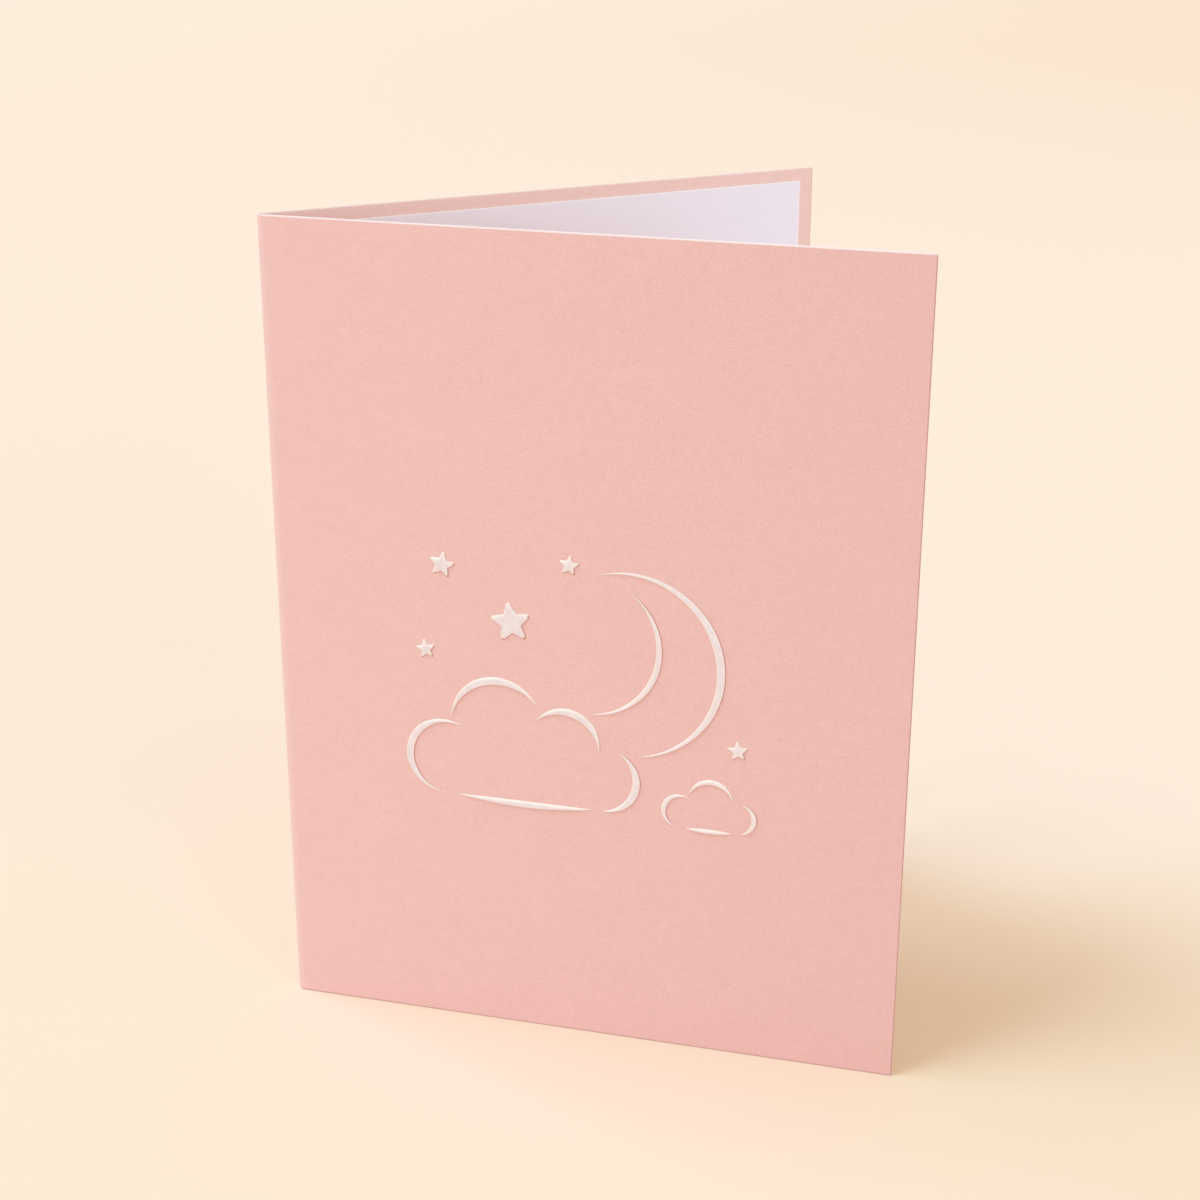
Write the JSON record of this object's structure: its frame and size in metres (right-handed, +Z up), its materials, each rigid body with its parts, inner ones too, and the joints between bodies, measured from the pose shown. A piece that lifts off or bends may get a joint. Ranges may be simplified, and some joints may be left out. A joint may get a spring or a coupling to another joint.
{
  "type": "greeting card",
  "caption": "Upright folded greeting card, half open, with a raised nursery ornament on the front and a pale writing sheet glued inside the back panel.",
  "frame": {"origin": "middle of the whole card's box, on the surface that the card stands on", "axes": "+Z up along the fold, the front panel faces -Y, the fold is on the -X side, and the back panel runs from it towards +X and +Y"},
  "size_m": [0.108, 0.0788, 0.1397],
  "materials": {
    "card_stock": "uncoated pink card stock, matte with a fine fibre grain",
    "writing_paper": "smooth uncoated white writing paper with a faint cool tint",
    "raised_print": "raised pale print, soft satin"
  },
  "bodies": {
    "root": {"card": "card_stock", "writing_insert": "writing_paper", "raised_ornament": "raised_print"}
  },
  "joints": []
}
